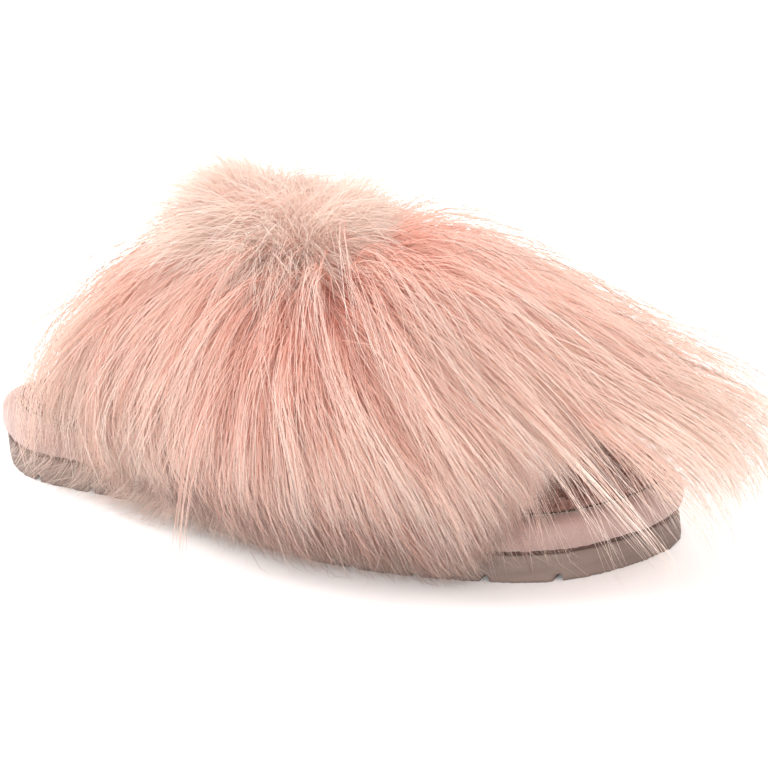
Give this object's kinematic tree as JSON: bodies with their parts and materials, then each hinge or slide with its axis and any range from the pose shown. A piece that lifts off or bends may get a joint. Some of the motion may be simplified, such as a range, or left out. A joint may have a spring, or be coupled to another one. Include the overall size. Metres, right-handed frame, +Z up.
{
  "type": "house slipper",
  "caption": "Backless open-toe house slipper: a wide arched band under very long fur, on a suede-wrapped platform with a grooved outsole.",
  "frame": {"origin": "on the ground, on the outsole's underside under the middle of the sole", "axes": "+X towards the toe, +Y towards the inner (big-toe) side, +Z up"},
  "size_m": [0.2992, 0.1524, 0.131],
  "materials": {
    "outsole_foam": "matt moulded taupe foam rubber",
    "suede": "napped dusty pink suede",
    "dark_thread": "dark brown thread and glued seam",
    "foam": "open-cell foam, unseen",
    "board": "fibre board, unseen",
    "fleece": "short dense wool pile",
    "lining": "short brushed lining",
    "backing": "knitted backing under the fur",
    "tape": "folded woven tape",
    "fur": "very long silky pile, salmon pink at the root and pale peach at the tip"
  },
  "bodies": {
    "root": {"outsole": "outsole_foam", "sole_seam": "dark_thread", "platform_wrap": "suede", "midsole": "foam", "insole_board": "board", "insole_cushion": "foam", "sock_lining": "fleece", "rim_stitch": "dark_thread", "fur_backing": "backing", "band_padding": "foam", "band_lining": "lining", "rear_binding": "tape", "rear_binding_stitch": "dark_thread", "front_binding": "tape", "front_binding_stitch": "dark_thread", "fur_crest": "fur", "fur_heel_fall": "fur", "fur_toe_fall": "fur", "fur_outer_side": "fur", "fur_inner_side": "fur"}
  },
  "joints": []
}
